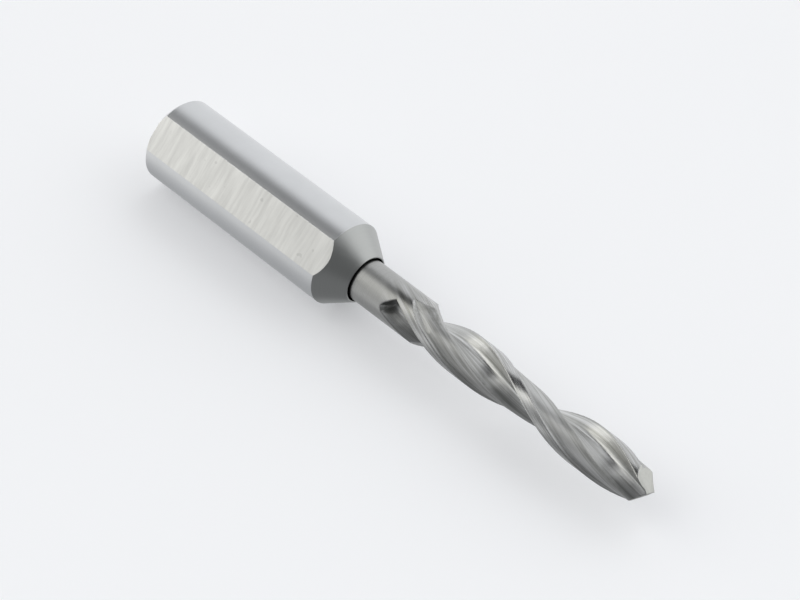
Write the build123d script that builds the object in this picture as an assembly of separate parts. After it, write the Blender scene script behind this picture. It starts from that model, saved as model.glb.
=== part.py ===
from build123d import *
import math
import os

# Dowel drill bit: a fluted carbide drill set in a steel shank with a clamping flat.
# Millimetres. The axis is X, the shank's back face is at X = 0 and the point looks along +X.
# The bit lies on its shank, with the flat turned towards the side. Angles about the axis
# are in degrees, from +Y towards +Z.

# Shank
shank_diameter = 10.0
shank_length = 30.0
back_chamfer = 0.4
nose_length = 3.2
nose_diameter = 5.7
recess_diameter = 5.4
recess_depth = 1.2
flat_depth = 0.5
flat_angle = 132.8
seat_wall = 1.97

# Carbide drill
drill_diameter = 5.0
exposed_length = 40.0
seat_chamfer = 0.3

# Flutes: a helix, and the grinding wheel's section in the plane square to the helix
flute_lead = 33.5
flute_angle = 90.0
groove_angle = 62.0
core_diameter = 1.64
wheel_rim_radius = 0.5
rake_flank_angle = 51.2
flute_exit_angle = 72.0
flute_exit_lean = -12.0
flute_length = 35.05
edge_angle = 123.8

# Relief behind each cutting edge: a full width margin, a step down to the land, and the heel,
# which falls from the land to the floor of the next flute
margin_angle = 27.0
margin_step_angle = 3.0
step_diameter = 4.28
land_middle_angle = 63.0
land_middle_diameter = 3.86
heel_diameter = 3.6
heel_flank_angle = 20.1
relief_side_angle = 12.0
relief_wheel_height = 19.0
relief_wheel_lean = 45.0
relief_length = 28.8

# Point: two flat flanks that meet in the chisel edge
flank_tilt = 38.9
chisel_lead_angle = 21.2

# Adjusting screw in the shank's back end
screw_diameter = 5.0
screw_length = 6.0
screw_recess = 0.3
screw_chamfer = 0.5
socket_width = 2.5
socket_depth = 2.6
tapped_length = 8.5
tap_drill_point_angle = 118.0
mouth_chamfer = 0.3
thread_clearance = 0.05

# Room for the cutters past the metal they cut, how far up the heel's line its cut ends beside
# the flute's floor, and rounds until a point on a helix settles
overrun = 1.0
floor_step = 0.05
settling_rounds = 30

# Places that follow from the sizes
shank_radius = shank_diameter / 2
drill_radius = drill_diameter / 2
cone_start = shank_length - nose_length
tap_radius = screw_diameter / 2 + thread_clearance
tap_end = tapped_length + tap_radius / math.tan(math.radians(tap_drill_point_angle / 2))
seat_bottom = tap_end + seat_wall
tip = shank_length + exposed_length
helix_angle = math.atan(2 * math.pi * drill_radius / flute_lead)
flute_start = tip - flute_length
relief_start = tip - relief_length


def about_axis(angle):
    """The unit vector square to the axis at an angle."""
    turn = math.radians(angle)
    return Vector(0, math.cos(turn), math.sin(turn))


def edge_angle_at(x):
    """The angle of the first cutting edge's helix at a place along the axis."""
    return edge_angle + 360 * (x - tip) / flute_lead


def wheel_plane(x, angle):
    """The plane square to the helix: its x runs across the flute and its y away from the axis."""
    across = about_axis(angle + 90) * math.cos(helix_angle) - Vector(math.sin(helix_angle), 0, 0)
    along = about_axis(angle + 90) * math.sin(helix_angle) + Vector(math.cos(helix_angle), 0, 0)
    return Plane(origin=(x, 0, 0), x_dir=across, z_dir=-along)


def in_wheel_plane(radius, angle):
    """Where the helix through a radius and an angle, both at one section, meets the wheel plane."""
    across = 0.0
    for _ in range(settling_rounds):
        turn = math.radians(angle - 360 * across * math.sin(helix_angle) / flute_lead)
        across = (across + radius * math.sin(turn) / math.cos(helix_angle)) / 2
    return Vector(across, radius * math.cos(turn))


def carried_over(point, angle):
    """A point of one wheel plane, moved along its helix to the wheel plane that lies an angle behind."""
    side = point.X * math.cos(helix_angle)
    turn = math.degrees(math.atan2(side, point.Y)) + 360 * point.X * math.sin(helix_angle) / flute_lead
    return in_wheel_plane(math.hypot(side, point.Y), turn + angle)


def outward(lean):
    """The direction in the wheel plane that leans an angle from the way away from the axis."""
    return Vector(-math.sin(math.radians(lean)), math.cos(math.radians(lean)))


def along_helix(face, x, angle):
    """The room that a section in the wheel plane clears from x to the tip."""
    path = Helix(flute_lead, tip + overrun - x, drill_radius, center=(x, 0, 0), direction=(1, 0, 0))
    start = path @ 0
    path = path.rotate(Axis.X, angle - math.degrees(math.atan2(start.Z, start.Y)))
    return sweep(wheel_plane(x, angle) * face, path=path, is_frenet=True)


def straight_exit(face, x, angle, slope, lean):
    """The room that a section clears behind x, where it rises straight out of the rod."""
    plane = wheel_plane(x, angle)
    out = outward(lean)
    away = plane.x_dir * out.X + plane.y_dir * out.Y
    rise = math.radians(slope)
    way = plane.z_dir * math.cos(rise) + away * math.sin(rise)
    return extrude(plane * face, amount=drill_diameter / math.sin(rise), dir=way)


def round_exit(face, x, angle, wheel_height, lean):
    """The room that a section clears behind x, where it rises on the wheel's own round path.

    The wheel's axis lies at a height over the drill's axis.
    """
    plane = wheel_plane(x, angle)
    out = outward(lean)
    side = plane.x_dir * out.Y - plane.y_dir * out.X
    centre = plane.from_local_coords(out * wheel_height)
    return revolve(plane * face, axis=Axis(centre, -side), revolution_arc=90)


def direction(angle):
    """The unit vector in the wheel plane at an angle from its x."""
    return Vector(math.cos(math.radians(angle)), math.sin(math.radians(angle)))


def crossing(start, along, other_start, other_along):
    """Where two lines of one plane meet."""
    return start + along * (other_along.cross(start - other_start).Z / along.cross(other_along).Z)


def rim_centre():
    """The middle of the wheel's rounded rim, which touches the rake flank and the heel's line."""
    edge = in_wheel_plane(drill_radius, -flute_angle / 2)
    floor = Vector(0, core_diameter / 2 / math.cos(math.radians(heel_flank_angle)))
    rake = direction(180 - rake_flank_angle)
    heel = direction(heel_flank_angle)
    off_rake = edge + direction(90 - rake_flank_angle) * wheel_rim_radius
    off_heel = floor + direction(90 + heel_flank_angle) * wheel_rim_radius
    return crossing(off_rake, rake, off_heel, heel)


def flute_section():
    """The flute wheel's section: a rake flank and a steeper back wall that meet in a rounded rim.

    The rake flank runs through the cutting edge. Both flanks end over the rod.
    """
    centre = rim_centre()
    edge = in_wheel_plane(drill_radius, -flute_angle / 2)
    wall_top = in_wheel_plane(drill_radius, groove_angle - flute_angle / 2)
    reach = wall_top - centre
    wall_angle = math.degrees(math.atan2(reach.Y, reach.X) + math.asin(wheel_rim_radius / reach.length))
    rake = direction(180 - rake_flank_angle)
    wall = direction(wall_angle)
    corner = crossing(edge, rake, wall_top, wall)
    out = outward(flute_exit_lean)
    rise = drill_radius + overrun - corner.dot(out)
    rake_end = corner + rake * (rise / rake.dot(out))
    wall_end = corner + wall * (rise / wall.dot(out))
    outline = FilletPolyline(rake_end, corner, wall_end, radius=wheel_rim_radius)
    return make_face(Wire([*outline.edges(), Line(wall_end, rake_end).edge()]))


def relief_section():
    """What is ground off behind the margin: the land, and the heel down to the next flute's floor.

    It lies in the wheel plane of the land's middle. The heel's ends are set in the wheel plane
    of the next flute and carried over from there.
    """
    next_flute = flute_angle / 2 + land_middle_angle - 180
    step_top = in_wheel_plane(drill_radius, land_middle_angle - margin_angle)
    step_foot = in_wheel_plane(step_diameter / 2, land_middle_angle - margin_angle - margin_step_angle)
    land_middle = in_wheel_plane(land_middle_diameter / 2, 0)
    heel = direction(heel_flank_angle)
    heel_foot = rim_centre() - direction(90 + heel_flank_angle) * wheel_rim_radius + heel * floor_step
    turned_heel = Vector(heel.X * math.cos(helix_angle), heel.Y)
    turned_foot = Vector(heel_foot.X * math.cos(helix_angle), heel_foot.Y)
    ahead = turned_foot.dot(turned_heel) / turned_heel.length
    beyond = (heel_diameter / 2) ** 2 - turned_foot.dot(turned_foot) + ahead**2
    heel_length = (math.sqrt(beyond) - ahead) / turned_heel.length
    corner = carried_over(heel_foot + heel * heel_length, next_flute)
    foot = carried_over(heel_foot, next_flute)
    step_out = step_top + (step_top - step_foot).normalized() * overrun
    flute_out = in_wheel_plane(drill_radius + overrun, next_flute + relief_side_angle - flute_angle / 2)
    top = Vector(flute_out.X, step_out.Y)
    outline = [
        Line(step_out, step_foot),
        ThreePointArc(step_foot, land_middle, corner),
        Line(corner, foot),
        Line(foot, flute_out),
        Line(flute_out, top),
        Line(top, step_out),
    ]
    return make_face(Wire(outline))


def drill():
    """The carbide rod with its flutes, margins, clearance and point."""
    body = Pos(seat_bottom, 0, 0) * Rot(0, 90, 0) * Cylinder(
        drill_radius, tip - seat_bottom, align=(Align.CENTER, Align.CENTER, Align.MIN)
    )
    body = chamfer(body.edges().sort_by(Axis.X)[0], seat_chamfer)
    flute = flute_section()
    relief = relief_section()
    for tooth in (0, 180):
        flute_middle = edge_angle_at(flute_start) + tooth + flute_angle / 2
        body = body - along_helix(flute, flute_start, flute_middle)
        body = body - straight_exit(flute, flute_start, flute_middle, flute_exit_angle, flute_exit_lean)
        land_middle = edge_angle_at(relief_start) + tooth - land_middle_angle
        body = body - along_helix(relief, relief_start, land_middle)
        body = body - round_exit(relief, relief_start, land_middle, relief_wheel_height, relief_wheel_lean)
    tilt = math.radians(flank_tilt)
    room = 4 * drill_diameter
    beyond_flank = Box(room, room, room, align=(Align.CENTER, Align.CENTER, Align.MIN))
    for tooth in (0, 180):
        downhill = about_axis(edge_angle + chisel_lead_angle - 90 + tooth)
        facing = Vector(math.cos(tilt), 0, 0) + downhill * math.sin(tilt)
        body = body - Plane(origin=(tip, 0, 0), z_dir=facing) * beyond_flank
    return body


def shank():
    """The turned shank with its cone, recess, seat, tapped hole and flat."""
    recess_floor = shank_length - recess_depth
    with BuildPart() as body:
        with BuildSketch(Plane.XY):
            with BuildLine():
                Polyline(
                    (seat_bottom, 0),
                    (tap_end, 0),
                    (tapped_length, tap_radius),
                    (mouth_chamfer, tap_radius),
                    (0, tap_radius + mouth_chamfer),
                    (0, shank_radius - back_chamfer),
                )
                Bezier((0, shank_radius - back_chamfer), (back_chamfer, shank_radius))
                Line((back_chamfer, shank_radius), (cone_start, shank_radius))
                Bezier((cone_start, shank_radius), (shank_length, nose_diameter / 2))
                Polyline(
                    (shank_length, nose_diameter / 2),
                    (shank_length, recess_diameter / 2),
                    (recess_floor, recess_diameter / 2),
                    (recess_floor, drill_radius),
                    (seat_bottom, drill_radius),
                    (seat_bottom, 0),
                )
            make_face()
        revolve(axis=Axis.X)
        facing = about_axis(flat_angle)
        with BuildSketch(Plane(origin=facing * (shank_radius - flat_depth), x_dir=(1, 0, 0), z_dir=facing)):
            Rectangle(2 * shank_length, 2 * shank_diameter)
        extrude(amount=shank_diameter, mode=Mode.SUBTRACT)
    return body.part


def adjusting_screw():
    """The socket set screw that stops the shank at its length."""
    body = Pos(screw_recess, 0, 0) * Rot(0, 90, 0) * Cylinder(
        screw_diameter / 2, screw_length, align=(Align.CENTER, Align.CENTER, Align.MIN)
    )
    ends = body.edges().filter_by(GeomType.CIRCLE)
    body = chamfer(ends, screw_chamfer)
    mouth = Plane(origin=(screw_recess, 0, 0), x_dir=(0, 1, 0), z_dir=(1, 0, 0))
    socket = extrude(mouth * RegularPolygon(socket_width / 2, 6, major_radius=False), socket_depth)
    return body - socket


pieces = {
    "shank": shank(),
    "drill": drill(),
    "adjusting_screw": adjusting_screw(),
}

os.makedirs("parts", exist_ok=True)
for name, piece in pieces.items():
    export_step(piece, f"parts/{name}.step")
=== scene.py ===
import math
import bmesh
import bpy
from mathutils import Matrix, Vector

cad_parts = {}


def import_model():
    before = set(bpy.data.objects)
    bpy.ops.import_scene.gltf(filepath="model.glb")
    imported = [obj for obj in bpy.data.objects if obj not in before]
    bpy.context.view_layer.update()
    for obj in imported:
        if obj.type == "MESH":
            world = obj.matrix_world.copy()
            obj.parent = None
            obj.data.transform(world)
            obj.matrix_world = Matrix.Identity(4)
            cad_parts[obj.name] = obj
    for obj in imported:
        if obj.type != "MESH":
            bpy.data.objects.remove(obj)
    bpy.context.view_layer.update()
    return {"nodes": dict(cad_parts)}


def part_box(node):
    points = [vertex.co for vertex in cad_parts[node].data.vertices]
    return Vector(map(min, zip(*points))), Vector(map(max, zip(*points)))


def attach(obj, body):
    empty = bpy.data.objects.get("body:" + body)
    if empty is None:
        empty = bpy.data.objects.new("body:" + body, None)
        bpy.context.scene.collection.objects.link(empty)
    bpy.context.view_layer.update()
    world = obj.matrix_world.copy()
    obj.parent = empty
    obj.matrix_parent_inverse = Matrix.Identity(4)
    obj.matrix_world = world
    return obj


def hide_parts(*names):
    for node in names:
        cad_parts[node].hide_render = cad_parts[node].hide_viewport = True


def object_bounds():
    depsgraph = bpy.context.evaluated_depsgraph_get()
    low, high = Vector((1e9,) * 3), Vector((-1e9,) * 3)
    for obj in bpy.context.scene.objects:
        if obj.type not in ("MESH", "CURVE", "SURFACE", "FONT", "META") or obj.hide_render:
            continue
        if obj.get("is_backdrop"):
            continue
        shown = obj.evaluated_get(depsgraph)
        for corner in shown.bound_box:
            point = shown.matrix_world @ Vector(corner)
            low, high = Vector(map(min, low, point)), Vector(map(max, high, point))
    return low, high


# Dowel drill bit: a satin steel shank with a bright ground flat, and a fluted carbide drill.
# Metres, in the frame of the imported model: the axis is X and the point looks along +X.
# Materials work in millimetres, in the object's own coordinates.
# Angles about the axis run from +Y towards +Z.

MM = 0.001

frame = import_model()

# Sizes of the shank that the looks follow, in millimetres and degrees
shank_radius = 5.0
flat_angle = 132.8
flat_depth = 0.5
cone_start = 26.8
shank_end = 30.0
recess_radius = 2.7
bore_radius = 2.55
tapped_length = 8.5

# Sizes of the drill that the looks follow, in millimetres and degrees
drill_radius = 2.5
tip = 70.0
middle = tip / 2
flutes_start = 33.5
flute_lead = 33.5
edge_angle = 123.8
flank_tilt = 38.9
chisel_lead_angle = 21.2

# Places about the helix, in degrees of each half turn: the flute's wall, and the end of the land
wall_angle = 97.0
wall_reach = 16.0
land_end = 84.0
land_fade = 10.8

# Stretches over which the carbide's finish changes, in millimetres along the axis:
# the shaded ring in the recess, the marks along the helix, the margins, and the wall near the point
ring_shade_stretch = (shank_end + 0.1, shank_end + 0.35)
helix_marks_stretch = (flutes_start - 0.5, flutes_start + 2.5)
margin_stretch = (flutes_start + 2.5, flutes_start + 7.0)
wall_end_stretch = (tip - 2.5, tip - 4.5)

# Stretches over which finishes change, in millimetres from the axis:
# the flute's wall near the rim, and the rubbed crests of the screw's thread
wall_rim_stretch = (drill_radius - 0.05, drill_radius - 0.25)
rub_stretch = (2.3, 2.5)

# Slack at the borders between faces, in millimetres
flat_slack = 0.004
cone_slack = 0.01
hole_slack = 0.02
rim_slack = 0.012
facet_slack = 0.001

# Shank finish: levels and roughnesses from one end of its marks to the other, and tints
body_level = (0.55, 0.65)
body_tint = (1.0, 1.015, 1.03)
body_roughness = (0.3, 0.4)
cloud_share = 0.3
flat_level = (0.63, 0.73)
flat_tint = (1.0, 1.0, 0.98)
flat_roughness = (0.5, 0.4)
pit_noise = (0.72, 0.78)
pit_level = 0.88
cone_level = (0.345, 0.425)
cone_tint = (1.0, 1.02, 1.0)
# Painted shade: the recess round the drill is coloured near black for the shade that falls in it
recess_shade_colour = (0.05, 0.05, 0.052, 1.0)

# How fine the marks on the shank are, per millimetre, and how much the flat's streaks wander
turning_scale = 14.0
cloud_scale = 0.35
cone_scale = 30.0
pit_scale = 1.1
streak_scale = 1.7
streak_stretch = 0.14
wander_scale = 0.5
wander_share = 0.6

# Carbide finish: levels and roughnesses from one end of its marks to the other, and tints
carbide_level = (0.27, 0.51)
carbide_green = 1.005
carbide_blue = (0.95, 1.0)
carbide_roughness = (0.34, 0.44)
ring_shade_level = 0.15
facet_yellowing = 0.04
facet_calm = 0.85

# How much brighter the carbide is in some places
# Painted highlight: the point's ground facets are made brighter
facet_highlight_gain = 0.15
# Painted highlight: the middle of each flute's wall is made brighter for the bright band of reflection
# along it
wall_highlight_gain = 0.22
margin_gain = 0.07
land_gain = 0.12

# How much rougher the carbide is in some places
helix_roughening = -0.08
margin_roughening = -0.07
land_roughening = 0.12

# How fine the marks on the carbide are: rings on the rod, and round, into and along the helix
ring_scale = 22.0
round_scale = 5.4
inward_scale = 3.6
along_scale = 0.072

# Screw finish: levels and roughnesses from one end of its blotches to the other, and tint
screw_level = (0.035, 0.06)
screw_rub = 0.05
screw_tint = (1.0, 1.0, 1.06)
screw_roughness = (0.38, 0.5)
blotch_scale = 1.5
grain_scale = 12.0

# Depth of the marks and softness of the edges in the shading, in millimetres
shank_relief = 0.004
shank_edge = 0.1
carbide_relief = 0.02
carbide_edge = 0.22
grain_relief = 0.006
mark_strength = 0.6
grain_strength = 0.4
edge_samples = 6

# Studio colours, linear
wall_colour = (1.04, 1.05, 1.065, 1.0)
lit_wall_colour = (1.32, 1.33, 1.34, 1.0)
shade_colour = (0.215, 0.22, 0.225, 1.0)
low_shade_colour = (0.33, 0.335, 0.345, 1.0)
gap_colour = (0.03, 0.032, 0.035, 1.0)
table_colour = (0.5, 0.51, 0.52, 1.0)
window_colour = (1.62, 1.61, 1.55, 1.0)

# The floor's paper, and how much of its own glow the camera sees in it
floor_colour = (0.925, 0.935, 0.955, 1.0)
floor_glow = (0.93, 0.935, 0.955, 1.0)
floor_lift = 0.3
floor_half = 1.5

# The window's place in the studio, in degrees
window_azimuth = -153.0
window_width = 48.0
window_top = 65.0
window_bottom = -25.0
window_edge = 5.0

# Adjusting screw: a socket set screw with a cut thread, in millimetres
thread_pitch = 0.8
thread_depth = 0.46
thread_flat = 0.14
screw_chamfer = 0.5
socket_width = 2.5
socket_depth = 2.6
socket_cone = 0.5
cup_diameter = 2.6
cup_depth = 0.8
weld_distance = 0.001

# The screw's mesh: steps round it, rows along it, and the angle in degrees from which an edge is sharp
round_steps = 96
rows_per_mm = 40
sharp_angle = 32.0


def new_material(name):
    """A material with an empty node tree, its output and its Principled shader."""
    material = bpy.data.materials.new(name)
    material.use_nodes = True
    tree = material.node_tree
    tree.nodes.clear()
    output = tree.nodes.new("ShaderNodeOutputMaterial")
    shader = tree.nodes.new("ShaderNodeBsdfPrincipled")
    tree.links.new(shader.outputs["BSDF"], output.inputs["Surface"])
    return material, tree, shader


def put(tree, socket, value):
    """Links an output to a socket, or writes a plain value into it."""
    if isinstance(value, bpy.types.NodeSocket):
        tree.links.new(value, socket)
    else:
        socket.default_value = value


def maths(tree, operation, *values):
    """One Math node."""
    node = tree.nodes.new("ShaderNodeMath")
    node.operation = operation
    for socket, value in zip(node.inputs, values):
        put(tree, socket, value)
    return node.outputs[0]


def product(tree, first, *others):
    """The product of an output and other outputs or numbers."""
    for other in others:
        first = maths(tree, "MULTIPLY", first, other)
    return first


def inverse(tree, share):
    """One less a share."""
    return maths(tree, "SUBTRACT", 1.0, share)


def vector_maths(tree, operation, *values):
    """One Vector Math node; Dot Product gives a number."""
    node = tree.nodes.new("ShaderNodeVectorMath")
    node.operation = operation
    for socket, value in zip(node.inputs, values):
        put(tree, socket, value)
    return node.outputs["Value" if operation == "DOT_PRODUCT" else "Vector"]


def ramp(tree, value, start, end, low=0.0, high=1.0):
    """A smooth step of a value, from low before start to high after end."""
    node = tree.nodes.new("ShaderNodeMapRange")
    node.interpolation_type = "SMOOTHSTEP"
    put(tree, node.inputs["Value"], value)
    put(tree, node.inputs["From Min"], start)
    put(tree, node.inputs["From Max"], end)
    put(tree, node.inputs["To Min"], low)
    put(tree, node.inputs["To Max"], high)
    return node.outputs["Result"]


def mix_colour(tree, factor, first, second):
    """A mix of two colours or colour outputs."""
    node = tree.nodes.new("ShaderNodeMix")
    node.data_type = "RGBA"
    sockets = [socket for socket in node.inputs if socket.type == "RGBA"]
    put(tree, node.inputs["Factor"], factor)
    put(tree, sockets[0], first)
    put(tree, sockets[1], second)
    return [socket for socket in node.outputs if socket.type == "RGBA"][0]


def blend(tree, factor, first, second):
    """A mix of two numbers."""
    node = tree.nodes.new("ShaderNodeMix")
    put(tree, node.inputs["Factor"], factor)
    put(tree, node.inputs["A"], first)
    put(tree, node.inputs["B"], second)
    return node.outputs["Result"]


def noise(tree, coordinates, scale, detail=2.0, roughness=0.5):
    """Noise about 0.5, mostly from 0.3 to 0.7, at a scale per unit of its coordinates."""
    node = tree.nodes.new("ShaderNodeTexNoise")
    put(tree, node.inputs["Vector"], coordinates)
    node.inputs["Scale"].default_value = scale
    node.inputs["Detail"].default_value = detail
    node.inputs["Roughness"].default_value = roughness
    return node.outputs["Fac"]


def combine(tree, x, y, z):
    """A vector from three numbers."""
    node = tree.nodes.new("ShaderNodeCombineXYZ")
    for socket, value in zip(node.inputs, (x, y, z)):
        put(tree, socket, value)
    return node.outputs["Vector"]


def separate(tree, vector):
    """The three numbers of a vector."""
    node = tree.nodes.new("ShaderNodeSeparateXYZ")
    tree.links.new(vector, node.inputs["Vector"])
    return node.outputs


def stripes(tree, distance, scale, detail, roughness=0.5):
    """Noise that changes along one distance alone, at a scale per millimetre."""
    coordinates = combine(tree, maths(tree, "MULTIPLY", distance, scale), 0.0, 0.0)
    return noise(tree, coordinates, 1.0, detail, roughness)


def tinted(tree, level, tint):
    """A colour from a level and the share of it that red, green and blue take."""
    red, green, blue = [maths(tree, "MULTIPLY", level, share) for share in tint]
    return combine(tree, red, green, blue)


def place(tree):
    """The point in millimetres, its x, its radius and its angle about the axis in radians."""
    coordinates = tree.nodes.new("ShaderNodeTexCoord").outputs["Object"]
    point = vector_maths(tree, "MULTIPLY", coordinates, (1 / MM, 1 / MM, 1 / MM))
    x, y, z = separate(tree, point)
    square = maths(tree, "ADD", maths(tree, "MULTIPLY", y, y), maths(tree, "MULTIPLY", z, z))
    radius = maths(tree, "SQRT", square)
    angle = maths(tree, "ARCTAN2", z, y)
    return point, x, radius, angle


def bump(tree, height, relief, strength, edge_radius=0.0):
    """A bump of a relief in millimetres, over edges softened by a radius in millimetres."""
    node = tree.nodes.new("ShaderNodeBump")
    if edge_radius:
        soft = tree.nodes.new("ShaderNodeBevel")
        soft.samples = edge_samples
        soft.inputs["Radius"].default_value = edge_radius * MM
        tree.links.new(soft.outputs["Normal"], node.inputs["Normal"])
    node.inputs["Strength"].default_value = strength
    node.inputs["Distance"].default_value = relief * MM
    put(tree, node.inputs["Height"], height)
    return node.outputs["Normal"]


def clamping_flat(tree, point):
    """One on the flat and zero elsewhere, and the distance across the flat from its middle."""
    facing = math.radians(flat_angle)
    height = vector_maths(tree, "DOT_PRODUCT", point, (0.0, math.cos(facing), math.sin(facing)))
    across = vector_maths(tree, "DOT_PRODUCT", point, (0.0, -math.sin(facing), math.cos(facing)))
    on_flat = maths(tree, "GREATER_THAN", height, shank_radius - flat_depth - flat_slack)
    return on_flat, across


def body_colour(tree, point, turning):
    """The round body's colour, from its turning marks and a faint cloud."""
    cloud = noise(tree, point, cloud_scale, detail=3.0)
    marks = maths(tree, "ADD", turning, maths(tree, "MULTIPLY", cloud, cloud_share))
    return tinted(tree, ramp(tree, marks, 0.3, 1.0, *body_level), body_tint)


def cone_colour(tree, x):
    """The cone's colour, with finer turning marks than the body's."""
    marks = stripes(tree, x, cone_scale, detail=3.0)
    return tinted(tree, ramp(tree, marks, 0.3, 0.7, *cone_level), cone_tint)


def grinding_streaks(tree, point, x, across):
    """The marks of a wheel that ran across the flat, with a little wandering."""
    wander = maths(tree, "SUBTRACT", noise(tree, point, wander_scale), 0.5)
    wander = maths(tree, "MULTIPLY", wander, wander_share)
    along = maths(tree, "ADD", maths(tree, "MULTIPLY", x, streak_scale), wander)
    coordinates = combine(tree, along, maths(tree, "MULTIPLY", across, streak_stretch), 0.0)
    return noise(tree, coordinates, 1.0, detail=5.0, roughness=0.65)


def flat_colour(tree, point, streaks):
    """The flat's colour, with its streaks and a few faint pits."""
    level = ramp(tree, streaks, 0.25, 0.75, *flat_level)
    pits = ramp(tree, noise(tree, point, pit_scale, detail=1.0), *pit_noise, low=1.0, high=pit_level)
    return tinted(tree, product(tree, level, pits), flat_tint)


def tapped_thread(tree, x, radius, angle):
    """The height of the tapped hole's thread in millimetres, and zero outside the hole."""
    phase = maths(
        tree,
        "SUBTRACT",
        maths(tree, "DIVIDE", x, thread_pitch),
        maths(tree, "DIVIDE", angle, 2 * math.pi),
    )
    in_hole = product(
        tree,
        maths(tree, "LESS_THAN", radius, bore_radius + hole_slack),
        maths(tree, "LESS_THAN", x, tapped_length),
    )
    return product(tree, maths(tree, "PINGPONG", phase, 0.5), in_hole, 2 * thread_depth)


def shank_steel():
    """Satin turned steel, with the bright cross-ground flat, the darker turned cone and painted shade
    in the recess.
    """
    material, tree, shader = new_material("shank_steel_finish")
    point, x, radius, angle = place(tree)
    on_flat, across = clamping_flat(tree, point)
    past_body = maths(tree, "GREATER_THAN", x, cone_start + cone_slack)
    on_cone = product(tree, past_body, inverse(tree, on_flat))
    # Painted shade: the recess round the drill, coloured near black
    shade_in_recess = product(
        tree,
        maths(tree, "LESS_THAN", radius, recess_radius + hole_slack),
        maths(tree, "GREATER_THAN", x, cone_start),
    )
    turning = stripes(tree, maths(tree, "ADD", x, radius), turning_scale, detail=4.0, roughness=0.7)
    streaks = grinding_streaks(tree, point, x, across)

    colour = mix_colour(tree, on_cone, body_colour(tree, point, turning), cone_colour(tree, x))
    colour = mix_colour(tree, on_flat, colour, flat_colour(tree, point, streaks))
    colour = mix_colour(tree, shade_in_recess, colour, recess_shade_colour)
    put(tree, shader.inputs["Base Color"], colour)
    shader.inputs["Metallic"].default_value = 1.0

    rough = ramp(tree, turning, 0.2, 0.8, *body_roughness)
    flat_rough = ramp(tree, streaks, 0.3, 0.7, *flat_roughness)
    put(tree, shader.inputs["Roughness"], blend(tree, on_flat, rough, flat_rough))

    marks = maths(tree, "ADD", turning, maths(tree, "MULTIPLY", streaks, on_flat))
    thread = maths(tree, "DIVIDE", tapped_thread(tree, x, radius, angle), shank_relief)
    height = maths(tree, "ADD", marks, thread)
    put(tree, shader.inputs["Normal"], bump(tree, height, shank_relief, mark_strength, shank_edge))
    return material


def on_facets(tree, point):
    """One on the two ground flanks of the point, and zero elsewhere."""
    tilt = math.radians(flank_tilt)
    masks = []
    for tooth in (0, 180):
        turn = math.radians(edge_angle + chisel_lead_angle - 90 + tooth)
        facing = (math.cos(tilt), math.sin(tilt) * math.cos(turn), math.sin(tilt) * math.sin(turn))
        height = vector_maths(tree, "DOT_PRODUCT", point, facing)
        masks.append(maths(tree, "GREATER_THAN", height, tip * math.cos(tilt) - facet_slack))
    return maths(tree, "MAXIMUM", *masks)


def helix_marks(tree, helix, x, radius):
    """The marks of grinding along the flutes and the lands."""
    circle = combine(tree, maths(tree, "COSINE", helix), maths(tree, "SINE", helix), 0.0)
    circle = vector_maths(tree, "MULTIPLY", circle, (round_scale, round_scale, round_scale))
    inwards = maths(tree, "MULTIPLY", radius, inward_scale)
    along = maths(tree, "MULTIPLY", x, along_scale)
    coordinates = vector_maths(tree, "ADD", circle, combine(tree, inwards, 0.0, along))
    return noise(tree, coordinates, 1.0, detail=6.0, roughness=0.75)


def highlight_on_flute_wall(tree, phase, x, radius):
    """One in the middle of each flute's wall, fading towards its sides, its rim and the point: where a
    painted highlight brightens the carbide.
    """
    beside = maths(tree, "ABSOLUTE", maths(tree, "SUBTRACT", phase, wall_angle))
    return product(
        tree,
        ramp(tree, beside, wall_reach, wall_reach / 2),
        ramp(tree, radius, *wall_rim_stretch),
        ramp(tree, x, *wall_end_stretch),
    )


def carbide_colour(tree, x, marks, facets, gains):
    """The carbide's colour, from its marks and its places with their gains; the gains on the facets and
    the flute's wall are painted highlights.
    """
    level = ramp(tree, marks, 0.33, 0.67, *carbide_level)
    for mask, gain in gains:
        level = product(tree, level, maths(tree, "ADD", 1.0, maths(tree, "MULTIPLY", mask, gain)))
    level = product(tree, level, ramp(tree, x, *ring_shade_stretch, low=ring_shade_level))
    blue = ramp(tree, marks, 0.3, 0.6, *carbide_blue)
    blue = maths(tree, "SUBTRACT", blue, maths(tree, "MULTIPLY", facets, facet_yellowing))
    return tinted(tree, level, (1.0, carbide_green, blue))


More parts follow.
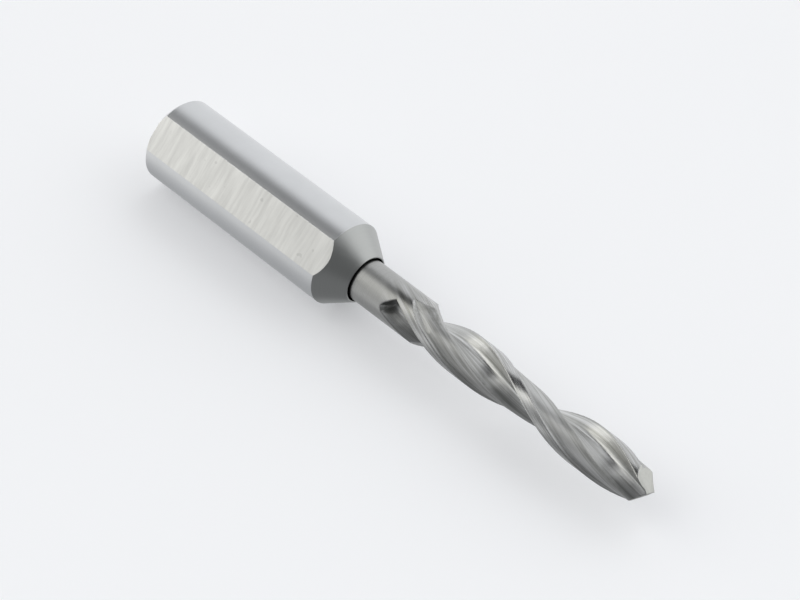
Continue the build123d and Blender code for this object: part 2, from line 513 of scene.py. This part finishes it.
def carbide():
    """Ground carbide: round marks on the rod, and marks along the helix in flutes and on the lands."""
    material, tree, shader = new_material("carbide_finish")
    point, x, radius, angle = place(tree)
    helix = maths(tree, "SUBTRACT", angle, maths(tree, "MULTIPLY", x, 2 * math.pi / flute_lead))
    phase = maths(tree, "WRAP", maths(tree, "DEGREES", helix), 180.0, 0.0)

    fluted = ramp(tree, x, *helix_marks_stretch)
    on_rim = maths(tree, "GREATER_THAN", radius, drill_radius - rim_slack)
    off_rim = inverse(tree, on_rim)
    along_helix = maths(tree, "MAXIMUM", off_rim, fluted)
    on_margin = product(tree, on_rim, ramp(tree, x, *margin_stretch))
    on_land = product(tree, ramp(tree, phase, land_end, land_end - land_fade), fluted, off_rim)
    # Painted highlight along the middle of each flute's wall
    highlight_on_wall = highlight_on_flute_wall(tree, phase, x, radius)
    facets = on_facets(tree, point)

    rings = stripes(tree, x, ring_scale, detail=4.0, roughness=0.7)
    marks = blend(tree, along_helix, rings, helix_marks(tree, helix, x, radius))
    calm = inverse(tree, maths(tree, "MULTIPLY", facets, facet_calm))
    marks = product(tree, maths(tree, "SUBTRACT", marks, 0.5), calm)
    marks = maths(tree, "ADD", marks, 0.5)

    # The gains on the facets and on the flute's wall are painted highlights
    gains = ((facets, facet_highlight_gain), (highlight_on_wall, wall_highlight_gain), (on_margin, margin_gain), (on_land, land_gain))
    put(tree, shader.inputs["Base Color"], carbide_colour(tree, x, marks, facets, gains))
    shader.inputs["Metallic"].default_value = 1.0

    rough = ramp(tree, marks, 0.2, 0.8, *carbide_roughness)
    changes = (
        (along_helix, helix_roughening),
        (on_margin, margin_roughening),
        (on_land, land_roughening),
    )
    for mask, change in changes:
        rough = maths(tree, "ADD", rough, maths(tree, "MULTIPLY", mask, change))
    put(tree, shader.inputs["Roughness"], rough)
    put(tree, shader.inputs["Normal"], bump(tree, marks, carbide_relief, mark_strength, carbide_edge))
    return material


def black_oxide():
    """Blackened screw steel with a faint sheen, rubbed brighter on the thread's crests."""
    material, tree, shader = new_material("black_oxide_finish")
    point, _, radius, _ = place(tree)
    blotch = noise(tree, point, blotch_scale, detail=4.0)
    rub = ramp(tree, radius, *rub_stretch, high=screw_rub)
    level = maths(tree, "ADD", ramp(tree, blotch, 0.3, 0.7, *screw_level), rub)
    put(tree, shader.inputs["Base Color"], tinted(tree, level, screw_tint))
    shader.inputs["Metallic"].default_value = 0.7
    put(tree, shader.inputs["Roughness"], ramp(tree, blotch, 0.2, 0.8, *screw_roughness))
    grain = noise(tree, point, grain_scale, detail=3.0)
    put(tree, shader.inputs["Normal"], bump(tree, grain, grain_relief, grain_strength))
    return material


def thread_height(x, turn):
    """How far a thread stands over its root, from 0 to 1, at a place along and a turn round it."""
    phase = (x / thread_pitch - turn / (2 * math.pi)) % 1.0
    slope = (abs(2 * phase - 1) - thread_flat) / (1 - 2 * thread_flat)
    return min(max(slope, 0.0), 1.0)


def hexagon_radius(turn):
    """How far the socket's hexagon lies from the axis at a turn."""
    sector = math.pi / 3
    return socket_width / 2 / math.cos((turn + sector / 2) % sector - sector / 2)


def set_screw():
    """The socket set screw: a cut thread, chamfered ends, a hex socket and a cup point."""
    low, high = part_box("adjusting_screw")
    start = low[0] / MM
    end = high[0] / MM
    major = (high[1] - low[1]) / 2 / MM
    turns = [2 * math.pi * step / round_steps for step in range(round_steps)]
    rings = []
    rings.append([(start + socket_depth + socket_cone, 0.0)] * round_steps)
    for x in (start + socket_depth, start):
        rings.append([(x, hexagon_radius(turn)) for turn in turns])
    rows = round((end - start) * rows_per_mm)
    for row in range(rows + 1):
        x = start + (end - start) * row / rows
        chamfered = major - max(0.0, screw_chamfer - min(x - start, end - x))
        ring = []
        for turn in turns:
            radius = major - thread_depth * (1 - thread_height(x, turn))
            ring.append((x, min(radius, chamfered)))
        rings.append(ring)
    rings.append([(end, cup_diameter / 2)] * round_steps)
    rings.append([(end - cup_depth, 0.0)] * round_steps)
    return round_mesh("set_screw", rings, turns)


def round_mesh(name, rings, turns):
    """A closed mesh about the X axis from rings of places along it and radii, joined in order."""
    steps = len(turns)
    points = []
    faces = []
    for ring in rings:
        for turn, (x, radius) in zip(turns, ring):
            points.append((x * MM, radius * math.cos(turn) * MM, radius * math.sin(turn) * MM))
    for row in range(len(rings) - 1):
        for step in range(steps):
            beside = (step + 1) % steps
            near = row * steps
            far = near + steps
            faces.append((near + step, near + beside, far + beside, far + step))
    mesh = bpy.data.meshes.new(name)
    mesh.from_pydata(points, [], faces)
    shape = bmesh.new()
    shape.from_mesh(mesh)
    bmesh.ops.remove_doubles(shape, verts=shape.verts, dist=weld_distance * MM)
    bmesh.ops.recalc_face_normals(shape, faces=shape.faces)
    shape.to_mesh(mesh)
    shape.free()
    for face in mesh.polygons:
        face.use_smooth = True
    mesh.set_sharp_from_angle(angle=math.radians(sharp_angle))
    piece = bpy.data.objects.new(name, mesh)
    bpy.context.scene.collection.objects.link(piece)
    return piece


def camera():
    """The camera that took the photograph, fitted to the part."""
    centre = Vector((154.79558, -120.76902, 197.28761)) * MM
    view = Vector((-0.46064491, 0.46490234, -0.75609))
    right = Vector((0.71035188, 0.70384672, 0.0))
    up = Vector((-0.53217146, 0.53708995, 0.65446766))
    data = bpy.data.cameras.new("camera")
    data.sensor_fit = "HORIZONTAL"
    data.sensor_width = 36.0
    data.lens = 111.21
    data.clip_start = 0.01
    data.clip_end = 10.0
    eye = bpy.data.objects.new("camera", data)
    turn = Matrix((right, up, -view)).transposed().to_4x4()
    eye.matrix_world = Matrix.Translation(centre) @ turn
    bpy.context.scene.collection.objects.link(eye)
    bpy.context.scene.camera = eye


def area_light(name, direction, distance, size, power, colour=(1.0, 1.0, 1.0)):
    """A soft round lamp that looks at the middle of the part and shows in no reflection."""
    data = bpy.data.lights.new(name, "AREA")
    data.shape = "DISK"
    data.size = size
    data.energy = power
    data.color = colour
    lamp = bpy.data.objects.new(name, data)
    away = Vector(direction).normalized()
    lamp.location = Vector((middle, 0.0, 0.0)) * MM + away * distance
    lamp.rotation_euler = away.to_track_quat("Z", "Y").to_euler()
    lamp.visible_glossy = False
    bpy.context.scene.collection.objects.link(lamp)


def compass(azimuth, elevation):
    """The unit vector at an azimuth from +X towards +Y and an elevation, in degrees."""
    across = math.cos(math.radians(elevation))
    turn = math.radians(azimuth)
    return (across * math.cos(turn), across * math.sin(turn), math.sin(math.radians(elevation)))


def lobe(tree, direction, azimuth, elevation, outer, inner):
    """How far a direction lies within a soft round patch, from 0 at its outer edge to 1."""
    nearness = vector_maths(tree, "DOT_PRODUCT", direction, compass(azimuth, elevation))
    return ramp(tree, nearness, math.cos(math.radians(outer)), math.cos(math.radians(inner)))


def window_share(tree, direction):
    """One in the middle of the tall window, fading over its edges."""
    x, y, z = separate(tree, direction)
    level = vector_maths(tree, "NORMALIZE", combine(tree, x, y, 0.0))
    half = window_width / 2
    across = lobe(tree, level, window_azimuth, 0, half + window_edge, half - window_edge)
    top = math.sin(math.radians(window_top + window_edge))
    top_fade = math.sin(math.radians(window_top - window_edge))
    bottom = math.sin(math.radians(window_bottom - 3 * window_edge))
    bottom_fade = math.sin(math.radians(window_bottom + 3 * window_edge))
    below_top = ramp(tree, z, top, top_fade)
    above_bottom = ramp(tree, z, bottom, bottom_fade)
    return product(tree, across, below_top, above_bottom)


def world():
    """A plain studio: white walls, a bright window past the shank, and a dark side by the camera.

    Its lower half stands for the table top in the metal's reflections, which don't show the floor.
    """
    studio = bpy.data.worlds.new("studio")
    studio.use_nodes = True
    tree = studio.node_tree
    tree.nodes.clear()
    output = tree.nodes.new("ShaderNodeOutputWorld")
    background = tree.nodes.new("ShaderNodeBackground")
    tree.links.new(background.outputs["Background"], output.inputs["Surface"])
    direction = tree.nodes.new("ShaderNodeTexCoord").outputs["Generated"]

    lit_wall = lobe(tree, direction, azimuth=60, elevation=20, outer=40, inner=18)
    table = lobe(tree, direction, azimuth=0, elevation=-90, outer=65, inner=20)
    shade = lobe(tree, direction, azimuth=-55, elevation=20, outer=66, inner=52)
    low_shade = lobe(tree, direction, azimuth=-68, elevation=-38, outer=55, inner=35)
    gap = lobe(tree, direction, azimuth=159, elevation=62, outer=23, inner=11)
    top_shade = lobe(tree, direction, azimuth=20, elevation=70, outer=22, inner=11)

    colour = mix_colour(tree, lit_wall, wall_colour, lit_wall_colour)
    colour = mix_colour(tree, table, colour, table_colour)
    colour = mix_colour(tree, shade, colour, shade_colour)
    colour = mix_colour(tree, low_shade, colour, low_shade_colour)
    colour = mix_colour(tree, window_share(tree, direction), colour, window_colour)
    colour = mix_colour(tree, gap, colour, gap_colour)
    colour = mix_colour(tree, top_shade, colour, shade_colour)
    put(tree, background.inputs["Color"], colour)
    bpy.context.scene.world = studio


def floor_paper():
    """White paper with a glow of its own for the camera, so that it renders nearly white."""
    material, tree, shader = new_material("floor_paper")
    shader.inputs["Base Color"].default_value = floor_colour
    shader.inputs["Roughness"].default_value = 0.9
    shader.inputs["Specular IOR Level"].default_value = 0.0
    glow = tree.nodes.new("ShaderNodeEmission")
    glow.inputs["Color"].default_value = floor_glow
    path = tree.nodes.new("ShaderNodeLightPath")
    mixed = tree.nodes.new("ShaderNodeMixShader")
    put(tree, mixed.inputs["Fac"], maths(tree, "MULTIPLY", path.outputs["Is Camera Ray"], floor_lift))
    tree.links.new(shader.outputs["BSDF"], mixed.inputs[1])
    tree.links.new(glow.outputs["Emission"], mixed.inputs[2])
    output = next(node for node in tree.nodes if node.type == "OUTPUT_MATERIAL")
    tree.links.new(mixed.outputs["Shader"], output.inputs["Surface"])
    return material


def floor():
    """A pale floor that keeps the part's soft shadow and doesn't show in the metal."""
    mesh = bpy.data.meshes.new("floor")
    corners = [
        (-floor_half, -floor_half, 0),
        (floor_half, -floor_half, 0),
        (floor_half, floor_half, 0),
        (-floor_half, floor_half, 0),
    ]
    mesh.from_pydata(corners, [], [(0, 1, 2, 3)])
    mesh.materials.append(floor_paper())
    ground = bpy.data.objects.new("floor", mesh)
    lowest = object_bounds()[0][2]
    ground.location = (middle * MM, 0.0, lowest)
    ground.visible_glossy = False
    bpy.context.scene.collection.objects.link(ground)
    ground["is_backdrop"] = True


bpy.context.scene.view_settings.view_transform = "Standard"
camera()
world()
area_light("key", (0.31, 0.56, 0.77), distance=0.6, size=0.7, power=0.4, colour=(1.0, 0.99, 0.98))
area_light("fill", (-0.18, -0.69, 0.71), distance=0.6, size=0.3, power=0.25)
area_light("overhead", (0.0, 0.0, 1.0), distance=0.7, size=1.2, power=1.0)
floor()

for name, finish in (("shank", shank_steel()), ("drill", carbide())):
    for slot in frame["nodes"][name].material_slots:
        slot.material = finish

screw = set_screw()
screw.data.materials.append(black_oxide())
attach(screw, "stop")
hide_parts("adjusting_screw")
